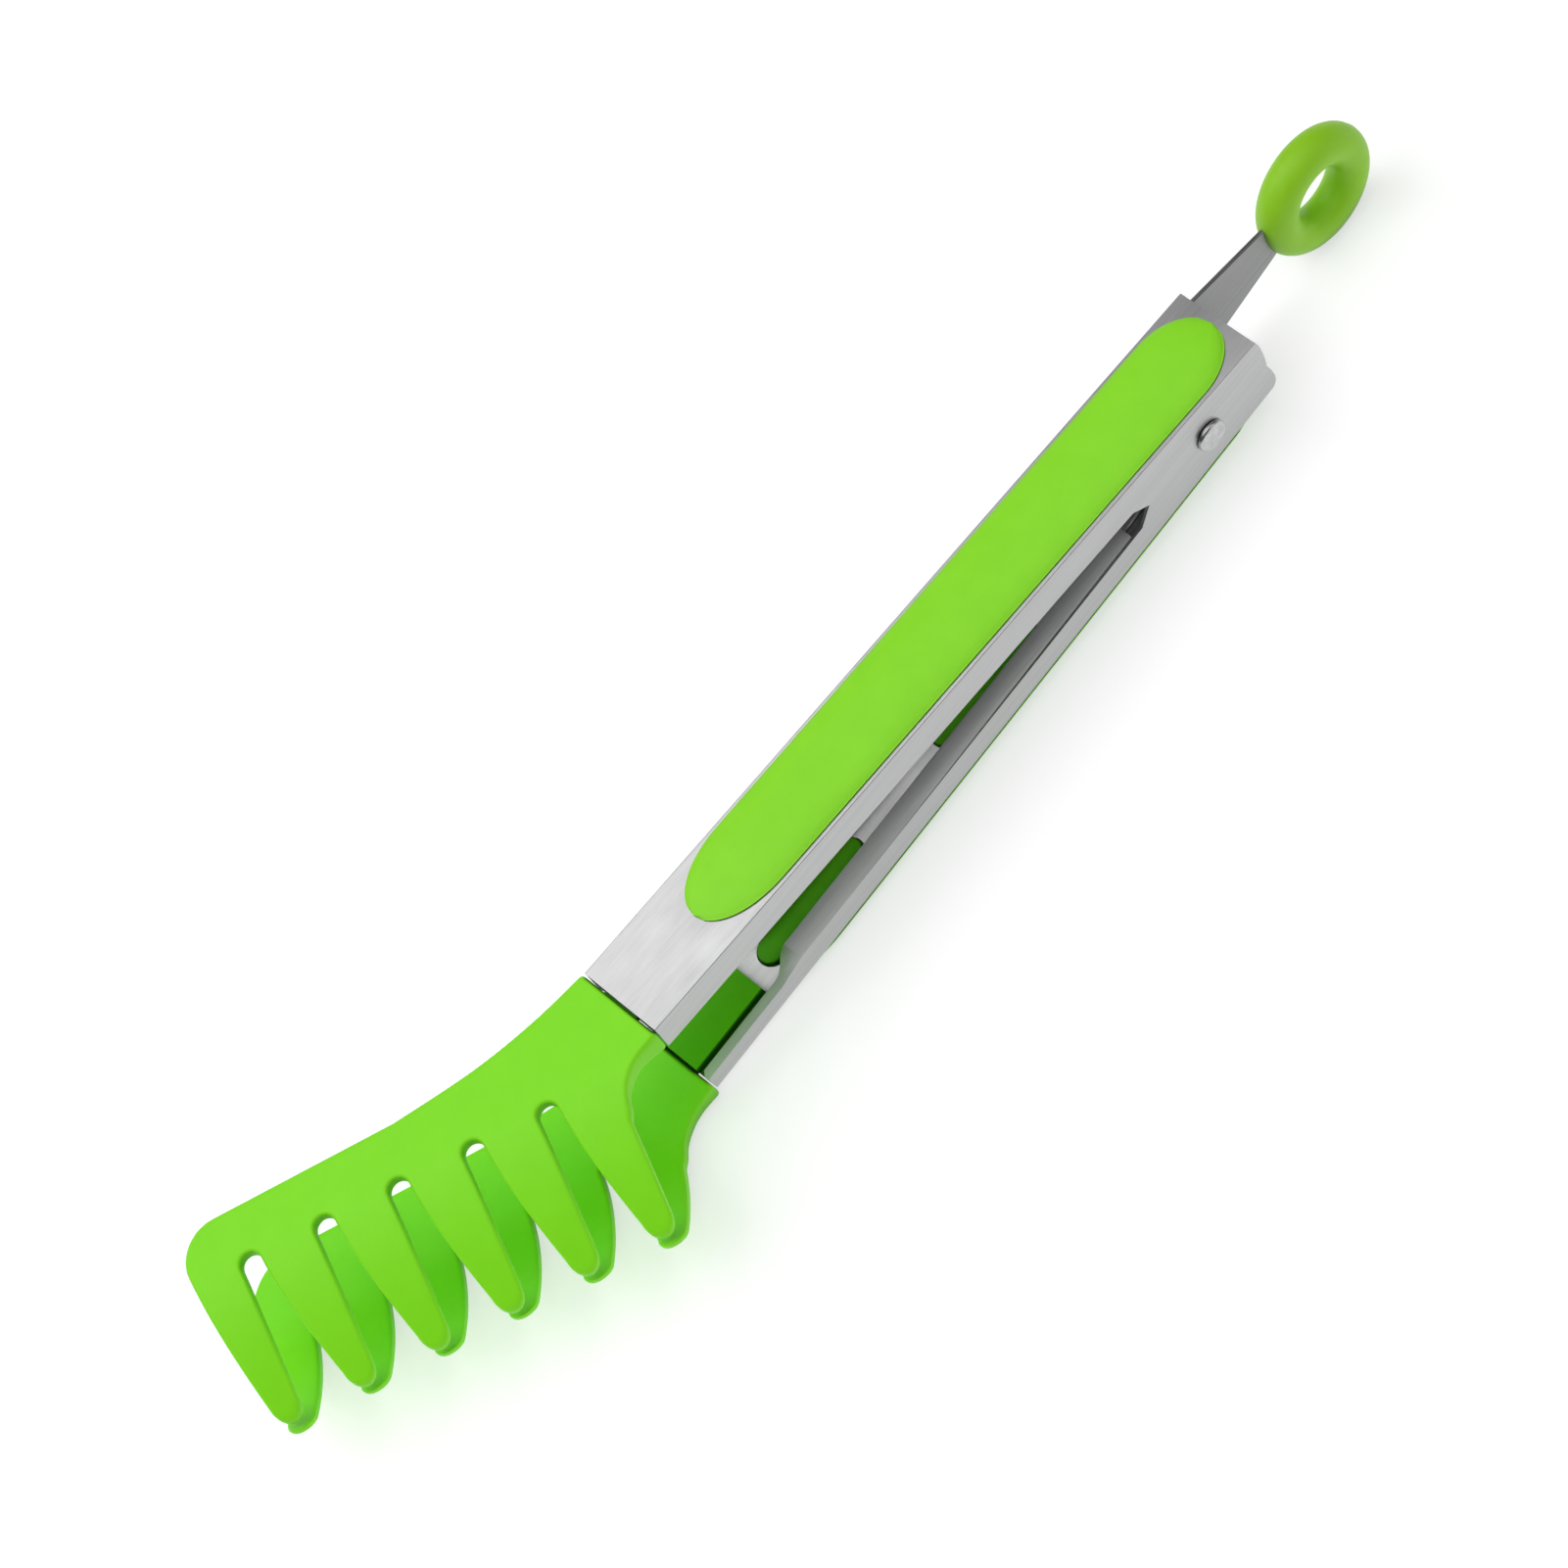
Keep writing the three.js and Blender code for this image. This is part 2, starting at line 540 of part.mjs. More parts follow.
function hangRing() {
  const torus = new THREE.TorusGeometry(RING_RADIUS, RING_SECTION, 14, 32);
  torus.rotateX(Math.PI / 2).translate(-RING_FROM_PIVOT, PLATE_Y, 0);
  return solid(torus).subtract(lockPlate(GAP));
}

// ---- assembly ---------------------------------------------------------------------------

// Everything on an arm is built in the upper arm's frame; the lower arm's is its mirror image.
function onArm(width, depth, endDepth, rootDepth, tailCut) {
  const half = width / 2;
  return {
    arm: arm(width, depth, endDepth, tailCut),
    grip: grip(),
    tang: tang(half, endDepth),
    comb: comb(rootDepth),
  };
}

function armGroup(prefix, bodies, lower) {
  const finishes = {
    arm: colours.steel, grip: colours.silicone, tang: colours.nylon, comb: colours.silicone,
  };
  const group = new THREE.Group();
  for (const [key, body] of Object.entries(bodies)) {
    const placed = lower ? body.mirror([0, 0, 1]) : body;
    group.add(piece(`${prefix}_${key}`, placed, finishes[key]));
  }
  group.rotation.y = lower ? SHUT : -SHUT;
  return group;
}

const hinge = new THREE.Group();
hinge.add(
  piece('hinge_rivet', hingePin(), colours.rivet),
  piece('rivet_washer', washer(), colours.rivet),
  piece('spring_bush', bush(), colours.steel),
  piece('torsion_spring', spring(), colours.wire),
  piece('lock_plate', lockPlate(0), colours.steel),
  piece('hanging_ring', hangRing(), colours.ring),
);

const tongs = new THREE.Group();
tongs.add(armGroup('upper',
  onArm(ARM_WIDTH, UPPER_FLANGE, UPPER_FLANGE, UPPER_ROOT_DEPTH, 0), false));
tongs.add(armGroup('lower',
  onArm(LOWER_WIDTH, LOWER_FLANGE, LOWER_FLANGE_END, LOWER_ROOT_DEPTH, LOWER_TAIL_CUT), true));
tongs.add(hinge);
tongs.rotation.y = THREE.MathUtils.degToRad(LYING_TILT) - SHUT;

// The tongs lie on the ring and the lower grip; the origin goes under the middle of their box.
const part = new THREE.Group();
part.add(tongs);
part.updateMatrixWorld(true);
const bounds = new THREE.Box3().setFromObject(part, true);
const middle = bounds.getCenter(new THREE.Vector3());
tongs.position.set(-middle.x, -middle.y, -bounds.min.z);
part.updateMatrixWorld(true);

export default part;
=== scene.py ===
import json
import math

import bpy
from mathutils import Matrix, Vector


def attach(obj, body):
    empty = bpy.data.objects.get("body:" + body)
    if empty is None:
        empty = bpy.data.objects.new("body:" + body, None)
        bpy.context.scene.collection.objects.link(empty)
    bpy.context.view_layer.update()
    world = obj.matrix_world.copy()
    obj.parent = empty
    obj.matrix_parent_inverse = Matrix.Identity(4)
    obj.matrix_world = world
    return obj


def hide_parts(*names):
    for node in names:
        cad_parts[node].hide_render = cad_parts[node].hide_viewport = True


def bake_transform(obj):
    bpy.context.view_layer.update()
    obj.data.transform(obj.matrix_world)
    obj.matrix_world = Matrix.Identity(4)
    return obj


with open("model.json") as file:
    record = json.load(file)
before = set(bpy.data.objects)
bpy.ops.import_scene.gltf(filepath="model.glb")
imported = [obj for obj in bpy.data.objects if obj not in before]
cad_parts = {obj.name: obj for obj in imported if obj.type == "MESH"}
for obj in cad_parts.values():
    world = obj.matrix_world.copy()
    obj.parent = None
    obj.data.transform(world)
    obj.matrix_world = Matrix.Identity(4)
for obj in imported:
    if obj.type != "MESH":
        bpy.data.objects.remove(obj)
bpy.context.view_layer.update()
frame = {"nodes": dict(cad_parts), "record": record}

# ---- sizes, in millimetres, in the frame of one arm ----------------------------------------
# X runs from the hinge pin to the comb, Y to the tines' side, Z from the pin out to the web.

MM = 0.001
SHUT_TILT = math.radians(2.65)     # each arm off the middle plane when shut
WEB_HEIGHT = 10.1                  # pin to the outer face of the web
TAIL = 17.4
SHEET = 0.7
UPPER_WIDTH = 20.0
LOWER_WIDTH = 18.1
ARM_FRONT = 158.2
FOLD_RADIUS = 1.2                  # outside of the fold between web and flange
LOWER_FLANGE = 6.2
LIP_START = 25.0
EDGE_BREAK = 0.12                  # on the sheet's sheared edges
FOLD_INSIDE_SHARE = 0.18           # inner radius of the folds, as a share of twice the outer one
FOLD_OUTSIDE_SHARE = 0.5
LIP_SLOPE = 0.35                   # the folded lip rises towards the middle of the channel

GRIP_FROM = 1.5 - TAIL
GRIP_LENGTH = 152.5
GRIP_HALF = 9.1
GRIP_RISE = 1.95
GRIP_BED = 0.05                    # underside of the pad over the web
GRIP_LIP = 0.3                     # upright rim of the pad
GRIP_CROWN = 0.22                  # share of the rise that the crown gives
TAIL_ROUND = 12.0                  # length of the rounded end by the hinge
HEAD_ROUND = 17.0                  # length of the rounded end by the comb
DIMPLE_AT = 115.0                  # thumb dimple, from the pad's hinge end
DIMPLE_LENGTH = 12.0
DIMPLE_WIDTH = 0.52                # share of the pad's half width
DIMPLE_DEPTH = 0.42
BOSS_STARTS = (66.0 - TAIL, 120.5 - TAIL)
BOSS_LENGTH = 31.0
BOSS_WIDTH = 6.6
BOSS_CLEARANCE = 0.3
BOSS_HEIGHT = 2.2

COMB_TURN = math.radians(26.7)
COMB_PITCH = math.tan(math.radians(2.65))
COMB_PLATE = 3.0
COMB_HALF = 10.7                   # half width of the comb where it meets the arm
COMB_START = ARM_FRONT + 0.3       # a small gap to the arm
COMB_EDGE = 0.85                   # rounding of the comb's edges
COMB_GRAIN = 0.33
TINES = 6
TINE_PITCH = 16.25
FIRST_TINE = 12.6
SLOT_HALF = 2.25
ROOT_LINE = 14.25                  # centre line of the slots' round roots
TINE_TIP = 40.8
TIP_HALF = 3.1
TIP_THICKNESS = 2.2
TINE_LEAN = 2.4
TINE_STEPS = 12                    # points along a tine's side
ARC_STEPS = 12                     # points round a tip or a slot's root, over half a turn
TINE_DROP = 14.6
CURL_START = 12.0
CURL_POWER = 1.7
ROOT_RUN = 15.0
UPPER_ROOT = 7.6
LOWER_ROOT = 5.2

RING_RADIUS = 10.1
RING_SECTION = 4.3
RING_AT = -51.8
RING_SEAM = 0.05                   # height of the parting line
RING_SEAM_HALF = 0.3
PLATE_SIDE = -7.55                 # Y of the middle of the lock plate

PIN_RADIUS = 2.0
PEENED_RADIUS = 2.7
RIVET_HEAD = 3.5
RIVET_GAP = 0.15
WASHER = 0.8

# ---- places ---------------------------------------------------------------------------------

behaviour = frame["record"]["behaviour"]
joints = {joint["name"]: joint for joint in behaviour["joints"]}
PIN = Vector(joints["arm_hinge"]["pos_m"])
slide_axis = joints["tab_slide"]["axis"]
MIDDLE_TILT = math.atan2(-slide_axis[2], slide_axis[0])


def placed(tilt):
    return Matrix.Translation(PIN) @ Matrix.Rotation(tilt, 4, "Y") @ Matrix.Scale(MM, 4)


UPPER = placed(MIDDLE_TILT - SHUT_TILT)
LOWER = placed(MIDDLE_TILT + SHUT_TILT) @ Matrix.Diagonal((1, 1, -1, 1))
MIDDLE = placed(MIDDLE_TILT)

# ---- bench tools ----------------------------------------------------------------------------


def put_down_everything():
    if bpy.context.object and bpy.context.object.mode != "OBJECT":
        bpy.ops.object.mode_set(mode="OBJECT")
    bpy.ops.object.select_all(action="DESELECT")


def pick_up(obj):
    put_down_everything()
    obj.select_set(True)
    bpy.context.view_layer.objects.active = obj


def apply_modifier(obj, kind, **settings):
    pick_up(obj)
    modifier = obj.modifiers.new(kind.title(), kind)
    for key, value in settings.items():
        setattr(modifier, key, value)
    bpy.ops.object.modifier_apply(modifier=modifier.name)


def recalculate_normals(obj):
    pick_up(obj)
    bpy.ops.object.mode_set(mode="EDIT")
    bpy.ops.mesh.select_all(action="SELECT")
    bpy.ops.mesh.normals_make_consistent(inside=False)
    bpy.ops.object.mode_set(mode="OBJECT")


def smooth(obj, angle=35):
    pick_up(obj)
    bpy.ops.object.shade_smooth_by_angle(angle=math.radians(angle))


def into_place(obj, name, place, material, body, node):
    """Carries a piece made in an arm's frame to the real place, and hands it to its body."""
    obj.name = name
    obj.data.name = name
    obj.data.transform(place)
    if place.determinant() < 0:
        obj.data.flip_normals()
    obj.data.materials.clear()
    obj.data.materials.append(material)
    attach(obj, body)
    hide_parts(node)
    return obj


def own_copy(node, name):
    """A merged copy of a CAD node's mesh, with its flat faces made whole."""
    source = frame["nodes"][node]
    obj = bpy.data.objects.new(name, source.data.copy())
    bpy.context.scene.collection.objects.link(obj)
    pick_up(obj)
    bpy.ops.object.mode_set(mode="EDIT")
    bpy.ops.mesh.select_all(action="SELECT")
    bpy.ops.mesh.remove_doubles(threshold=0.000004)
    bpy.ops.mesh.dissolve_limited(angle_limit=math.radians(0.8))
    bpy.ops.object.mode_set(mode="OBJECT")
    return obj


def softened(node, name, radius, material, body):
    """A copy of a CAD node with its sharp edges broken."""
    obj = own_copy(node, name)
    apply_modifier(obj, "BEVEL", width=radius * MM, segments=2, limit_method="ANGLE",
                   angle_limit=math.radians(28), harden_normals=False)
    smooth(obj, 40)
    apply_modifier(obj, "WEIGHTED_NORMAL", mode="FACE_AREA", weight=100, keep_sharp=True)
    return into_place(obj, name, Matrix.Identity(4), material, body, node)


# ---- materials ------------------------------------------------------------------------------


class Finish:
    """A material and its node tree, with short ways to add and join nodes."""

    def __init__(self, name):
        self.material = bpy.data.materials.new(name)
        self.material.use_nodes = True
        self.nodes = self.material.node_tree.nodes
        self.links = self.material.node_tree.links
        self.shader = self.nodes["Principled BSDF"]
        self.place = self.add("ShaderNodeTexCoord").outputs["Object"]

    def add(self, kind, **settings):
        node = self.nodes.new(kind)
        for key, value in settings.items():
            setattr(node, key, value)
        return node

    def join(self, output, target):
        self.links.new(output, target)

    def stretched(self, scale):
        mapping = self.add("ShaderNodeMapping")
        mapping.inputs["Scale"].default_value = scale
        self.join(self.place, mapping.inputs["Vector"])
        return mapping.outputs["Vector"]

    def noise(self, vector, scale, detail=4.0, roughness=0.55):
        node = self.add("ShaderNodeTexNoise")
        node.inputs["Scale"].default_value = scale
        node.inputs["Detail"].default_value = detail
        node.inputs["Roughness"].default_value = roughness
        self.join(vector, node.inputs["Vector"])
        return node.outputs["Fac"]

    def ramp(self, value, stops):
        node = self.add("ShaderNodeValToRGB")
        elements = node.color_ramp.elements
        while len(elements) < len(stops):
            elements.new(0.5)
        for element, (position, colour) in zip(elements, stops):
            element.position = position
            element.color = (*colour, 1)
        self.join(value, node.inputs["Fac"])
        return node.outputs["Color"]

    def painted_crevice_shade(self, colour, reach):
        """The colour with painted shade: darker where a wall or gap closes in, as ambient occlusion
        finds it.
        """
        shade = self.add("ShaderNodeAmbientOcclusion", samples=12)
        shade.inputs["Distance"].default_value = reach
        # painted shade: dark green where the AO is low, full colour in the open
        painted_shade = self.ramp(shade.outputs["AO"], [(0.35, (0.12, 0.24, 0.05)), (0.95, (1, 1, 1))])
        mix = self.add("ShaderNodeMix", data_type="RGBA", blend_type="MULTIPLY")
        mix.inputs["Factor"].default_value = 1
        self.join(colour, mix.inputs[6])
        self.join(painted_shade, mix.inputs[7])
        return mix.outputs[2]

    def bump(self, height, strength, distance, onto=None):
        node = self.add("ShaderNodeBump")
        node.inputs["Strength"].default_value = strength
        node.inputs["Distance"].default_value = distance
        self.join(height, node.inputs["Height"])
        if onto is not None:
            self.join(onto, node.inputs["Normal"])
        return node.outputs["Normal"]


def grey(value):
    return (value, value, value * 1.01)


def brushed_sheet(name, light, dark, along=0.9):
    """Stainless sheet brushed lengthwise: long fine scratches, faint cloudy patches."""
    finish = Finish(name)
    scratches = finish.noise(finish.stretched((12 * along, 2600, 2600)), 1.0, 3.0, 0.6)
    streaks = finish.noise(finish.stretched((9, 900, 900)), 1.0, 4.0, 0.6)
    clouds = finish.noise(finish.stretched((40, 90, 90)), 1.0, 2.0)
    both = finish.add("ShaderNodeMix", data_type="FLOAT")
    both.inputs["Factor"].default_value = 0.3
    finish.join(scratches, both.inputs[2])
    finish.join(streaks, both.inputs[3])
    colour = finish.ramp(both.outputs[0], [(0.3, dark), (0.7, light)])
    finish.join(colour, finish.shader.inputs["Base Color"])
    rough = finish.add("ShaderNodeMapRange")
    rough.inputs["From Min"].default_value = 0.3
    rough.inputs["From Max"].default_value = 0.7
    rough.inputs["To Min"].default_value = 0.3
    rough.inputs["To Max"].default_value = 0.42
    finish.join(clouds, rough.inputs["Value"])
    finish.join(rough.outputs["Result"], finish.shader.inputs["Roughness"])
    finish.shader.inputs["Metallic"].default_value = 1.0
    finish.shader.inputs["Anisotropic"].default_value = 0.5
    normal = finish.bump(scratches, 0.16, 0.00002)
    finish.join(normal, finish.shader.inputs["Normal"])
    return finish.material


def moulded_silicone(name, body, light, rough=0.5, sheen=0.05, shine=0.28):
    """Matte moulded silicone: faint mottling in the colour, fine moulded grain, soft sheen."""
    finish = Finish(name)
    mottle = finish.noise(finish.place, 160, 5.0)
    colour = finish.ramp(mottle, [(0.32, body), (0.68, light)])
    # base colour carries painted shade in slots, crevices and between parts
    finish.join(finish.painted_crevice_shade(colour, 0.009), finish.shader.inputs["Base Color"])
    grain = finish.noise(finish.place, 5200, 2.0)
    waves = finish.noise(finish.place, 420, 3.0)
    first = finish.bump(waves, 0.10, 0.00008)
    normal = finish.bump(grain, 0.12, 0.00003, first)
    finish.join(normal, finish.shader.inputs["Normal"])
    patches = finish.add("ShaderNodeMapRange")
    patches.inputs["To Min"].default_value = rough - 0.05
    patches.inputs["To Max"].default_value = rough + 0.07
    finish.join(finish.noise(finish.place, 300, 3.0), patches.inputs["Value"])
    finish.join(patches.outputs["Result"], finish.shader.inputs["Roughness"])
    finish.shader.inputs["Specular IOR Level"].default_value = shine
    finish.shader.inputs["Sheen Weight"].default_value = sheen
    finish.shader.inputs["Sheen Roughness"].default_value = 0.5
    finish.shader.inputs["Subsurface Weight"].default_value = 0.12
    finish.shader.inputs["Subsurface Scale"].default_value = 0.0015
    finish.shader.inputs["Subsurface Radius"].default_value = (0.4, 1.0, 0.15)
    return finish.material


def drawn_metal(name, light, dark, rough=0.3, scale=(900, 900, 900)):
    """Turned, drawn or sheared steel with fine marks and small blotches."""
    finish = Finish(name)
    marks = finish.noise(finish.stretched(scale), 1.0, 5.0, 0.65)
    colour = finish.ramp(marks, [(0.3, dark), (0.7, light)])
    finish.join(colour, finish.shader.inputs["Base Color"])
    wear = finish.add("ShaderNodeMapRange")
    wear.inputs["To Min"].default_value = rough - 0.06
    wear.inputs["To Max"].default_value = rough + 0.1
    finish.join(finish.noise(finish.place, 700, 4.0), wear.inputs["Value"])
    finish.join(wear.outputs["Result"], finish.shader.inputs["Roughness"])
    finish.shader.inputs["Metallic"].default_value = 1.0
    finish.join(finish.bump(marks, 0.12, 0.00002), finish.shader.inputs["Normal"])
    return finish.material


STEEL = brushed_sheet("brushed_stainless_sheet", grey(0.53), grey(0.45))
GRIP_GREEN = moulded_silicone("lime_silicone_grip", (0.29, 0.86, 0.02), (0.31, 0.89, 0.024))
COMB_GREEN = moulded_silicone("lime_silicone_comb", (0.25, 0.88, 0.006), (0.265, 0.9, 0.008))
RING_GREEN = moulded_silicone("lime_silicone_ring", (0.31, 0.68, 0.016), (0.33, 0.71, 0.02), 0.45)
NYLON = moulded_silicone("green_nylon_tang", (0.11, 0.54, 0.001), (0.125, 0.57, 0.002), 0.5, 0.0, 0.12)
RIVET = drawn_metal("headed_rivet_steel", grey(0.62), grey(0.45))
BUSH = drawn_metal("turned_bush_steel", grey(0.66), grey(0.5), 0.28, (300, 5000, 300))
WIRE = drawn_metal("drawn_spring_wire", grey(0.5), grey(0.36), 0.32)
PLATE = brushed_sheet("stamped_lock_plate", grey(0.33), grey(0.26), 1.5)

# ---- arms -----------------------------------------------------------------------------------


def tilt_lip(mesh, to_arm, to_place):
    """Lifts the lip's inner edge, as a fold that stops short of square."""
    for vertex in mesh.vertices:
        point = to_arm @ vertex.co
        inwards = LOWER_WIDTH / 2 - SHEET - abs(point.y)
        if point.x > LIP_START - 2 and point.z < WEB_HEIGHT - 3 and inwards > 0.3:
            point.z -= LIP_SLOPE * inwards
            vertex.co = to_place @ point


def arm(side, width, place):
    """Folded channel: the CAD's sheet with round folds along the web and broken edges."""
    node = f"{side}_arm"
    obj = own_copy(node, node)
    back = place.inverted()
    pick_up(obj)
    mesh = obj.data
    if side == "lower":
        tilt_lip(mesh, back, place)
    lip_edge = WEB_HEIGHT - LOWER_FLANGE
    folds = []
    for edge in mesh.edges:
        a, b = (back @ mesh.vertices[v].co for v in edge.vertices)
        along = abs(a.x - b.x) > 4
        outer = min(abs(a.y), abs(b.y)) > width / 2 - 0.05 and min(a.z, b.z) > WEB_HEIGHT - 0.1
        inner_side = width / 2 - SHEET
        inner = all(abs(abs(p.y) - inner_side) < 0.05 and abs(p.z - WEB_HEIGHT + SHEET) < 0.1
                    for p in (a, b))
        lip = side == "lower" and all(abs(abs(p.y) - width / 2) < 0.05 and abs(p.z - lip_edge) < 0.1
                                      and p.x > LIP_START for p in (a, b))
        folds.append(FOLD_OUTSIDE_SHARE if along and outer
                     else FOLD_INSIDE_SHARE if along and inner else 1.0 if lip else 0.0)
    weight = mesh.attributes.new("bevel_weight_edge", "FLOAT", "EDGE")
    weight.data.foreach_set("value", folds)
    apply_modifier(obj, "BEVEL", width=2 * FOLD_RADIUS * MM, segments=6, limit_method="WEIGHT")
    apply_modifier(obj, "BEVEL", width=EDGE_BREAK * MM, segments=2, limit_method="ANGLE",
                   angle_limit=math.radians(40))
    smooth(obj, 32)
    apply_modifier(obj, "WEIGHTED_NORMAL", mode="FACE_AREA", weight=100, keep_sharp=True)
    return into_place(obj, f"{side}_arm_sheet", Matrix.Identity(4), STEEL, f"{side}_half", node)


# ---- grips ----------------------------------------------------------------------------------


def grip_outline(along):
    """Half width of the pad at a distance from its hinge end."""
    to_tail = min(along / TAIL_ROUND, 1)
    to_head = min((GRIP_LENGTH - along) / HEAD_ROUND, 1)
    tail_share = math.sqrt(max(0, 1 - (1 - to_tail) ** 2))
    head_share = max(0, 1 - (1 - to_head) ** 2.2) ** 0.5
    return GRIP_HALF * min(tail_share, head_share)


def grip_height(along, across):
    """Height of the pad over the web; across runs from -1 to 1 at the pad's edge."""
    to_tail = min(along / TAIL_ROUND, 1)
    to_head = min((GRIP_LENGTH - along) / (HEAD_ROUND * 1.5), 1)
    ends = (1 - (1 - to_tail) ** 3) * (1 - (1 - to_head) ** 2) ** 0.8
    edge = (1 - abs(across) ** 3.4) ** 0.6
    crown = 1 - GRIP_CROWN * across ** 2
    x, y = (along - DIMPLE_AT) / DIMPLE_LENGTH, across / DIMPLE_WIDTH
    dimple = DIMPLE_DEPTH * math.exp(-(x * x + y * y) ** 1.4)
    rise = GRIP_RISE * crown * edge * (0.25 + 0.75 * ends)
    return GRIP_LIP + max(0.05, rise - GRIP_LIP - dimple)


def grip(side, place):
    """Long pad bedded on the web, with its rounded ends and the dimple for a thumb."""
    bpy.ops.mesh.primitive_grid_add(x_subdivisions=150, y_subdivisions=28, size=2)
    pad = bpy.context.object
    bpy.ops.object.mode_set(mode="EDIT")
    bpy.ops.mesh.extrude_region_move(TRANSFORM_OT_translate={"value": (0, 0, 1)})
    bpy.ops.object.mode_set(mode="OBJECT")
    for vertex in pad.data.vertices:
        run = (vertex.co.x + 1) / 2
        eased = 0.5 - 0.5 * math.cos(math.pi * run)
        along = GRIP_LENGTH * eased * 0.5 + GRIP_LENGTH * run * 0.5
        across = math.sin(vertex.co.y * math.pi / 2)
        half = max(grip_outline(along), 0.02)
        rise = grip_height(along, across) if vertex.co.z > 0.5 else GRIP_BED
        vertex.co = (GRIP_FROM + along, across * half, WEB_HEIGHT + rise)
    recalculate_normals(pad)
    smooth(pad, 50)
    return into_place(pad, f"{side}_grip_pad", place,
                      GRIP_GREEN, f"{side}_half", f"{side}_grip")


def grip_boss(side, start, number, place):
    """Stud of the pad that shows inside the channel, through its slot in the web."""
    bpy.ops.mesh.primitive_cylinder_add(vertices=48, radius=BOSS_WIDTH / 2 - BOSS_CLEARANCE,
                                        depth=BOSS_HEIGHT, location=(0, 0, 0))
    boss = bpy.context.object
    straight = BOSS_LENGTH - BOSS_WIDTH
    for vertex in boss.data.vertices:
        vertex.co.x += straight / 2 if vertex.co.x > 0 else -straight / 2
    pick_up(boss)
    bpy.ops.object.mode_set(mode="EDIT")
    bpy.ops.mesh.select_all(action="SELECT")
    bpy.ops.mesh.remove_doubles(threshold=0.0001)
    bpy.ops.object.mode_set(mode="OBJECT")
    apply_modifier(boss, "BEVEL", width=0.5, segments=4, limit_method="ANGLE",
                   angle_limit=math.radians(60))
    smooth(boss, 40)
    boss.data.transform(Matrix.Translation((start + BOSS_LENGTH / 2, 0, WEB_HEIGHT - SHEET)))
    return into_place(boss, f"{side}_grip_boss_{number}", place,
                      NYLON, f"{side}_half", f"{side}_grip")


# ---- combs ----------------------------------------------------------------------------------


def on_comb(along, across):
    """A place on the comb, along and across its spine, in the arm's X and Y."""
    return (ARM_FRONT + along * math.cos(COMB_TURN) + across * math.sin(COMB_TURN),
            -along * math.sin(COMB_TURN) + across * math.cos(COMB_TURN))


def curve_through(points, steps):
    """Points on a smooth curve through the given ones."""
    ends = [points[0], *points, points[-1]]
    out = []
    for i in range(len(points) - 1):
        p0, p1, p2, p3 = (Vector(p) for p in ends[i:i + 4])
        for k in range(steps):
            t = k / steps
            out.append(tuple(0.5 * (2 * p1 + (p2 - p0) * t + (2 * p0 - 5 * p1 + 4 * p2 - p3) * t ** 2
                                    + (3 * p1 - p0 - 3 * p2 + p3) * t ** 3)))
    return [*out, tuple(points[-1])]


def tine_side(middle, root_half, side, tip):
    """One long side of a tine, from its root to where the round tip starts."""
    points = []
    for k in range(TINE_STEPS + 1):
        share = k / TINE_STEPS
        across = ROOT_LINE + (tip - TIP_HALF - ROOT_LINE) * share
        half = TIP_HALF + (root_half - TIP_HALF) * (1 - share ** 1.55)
        lean = TINE_LEAN * (across - ROOT_LINE) / (TINE_TIP - ROOT_LINE)
        points.append(on_comb(middle + side * half - lean, across))
    return points


def tine_tip(middle, tip):
    lean = TINE_LEAN * (tip - TIP_HALF - ROOT_LINE) / (TINE_TIP - ROOT_LINE)
    points = []
    for k in range(1, ARC_STEPS):
        angle = math.pi * k / ARC_STEPS
        points.append(on_comb(middle - lean + TIP_HALF * math.cos(angle),
                              tip - TIP_HALF + TIP_HALF * math.sin(angle)))
    return points


def comb_outline(reach, corner, rise, trim):
    """Edge of a comb: how far each tine reaches, the far corner's radius, how far the back
    edge comes in there, and how much narrower the last tine is."""
    tine_half = TINE_PITCH / 2 - SLOT_HALF
    last_edge = FIRST_TINE + (TINES - 1) * TINE_PITCH + tine_half - trim
    back = [(COMB_START, -COMB_HALF), on_comb(17.5, -4.8), on_comb(32, -2.2 + rise / 2),
            on_comb(50, rise - 0.8)]
    points = curve_through(back, 10)
    for k in range(11):
        angle = math.pi / 2 * k / 10
        points.append(on_comb(last_edge - corner * (1 - math.sin(angle)),
                              rise + corner * (1 - math.cos(angle))))
    for i in reversed(range(TINES)):
        middle = FIRST_TINE + i * TINE_PITCH
        tip = TINE_TIP + reach[i]
        outer = tine_side(middle, tine_half - (trim + 0.5 if i == TINES - 1 else 0), 1, tip)
        points += outer[1:] if i == TINES - 1 else outer
        points += tine_tip(middle, tip)
        inner = tine_side(middle, tine_half, -1, tip)
        points += reversed(inner if i > 0 else inner[4:])
        if i > 0:
            centre = middle - TINE_PITCH / 2
            for k in range(1, ARC_STEPS):
                angle = math.pi * k / ARC_STEPS
                points.append(on_comb(centre + SLOT_HALF * math.cos(angle),
                                      ROOT_LINE - SLOT_HALF * math.sin(angle)))
    near = [on_comb(FIRST_TINE - tine_half - 1.0, 20.5), on_comb(FIRST_TINE - 8, 16.6),
            on_comb(1.2, 12.6), (COMB_START, COMB_HALF)]
    return points + curve_through(near, 6)


def curl(across):
    run = max(0, across - CURL_START) / (TINE_TIP - CURL_START)
    return TINE_DROP * run ** CURL_POWER


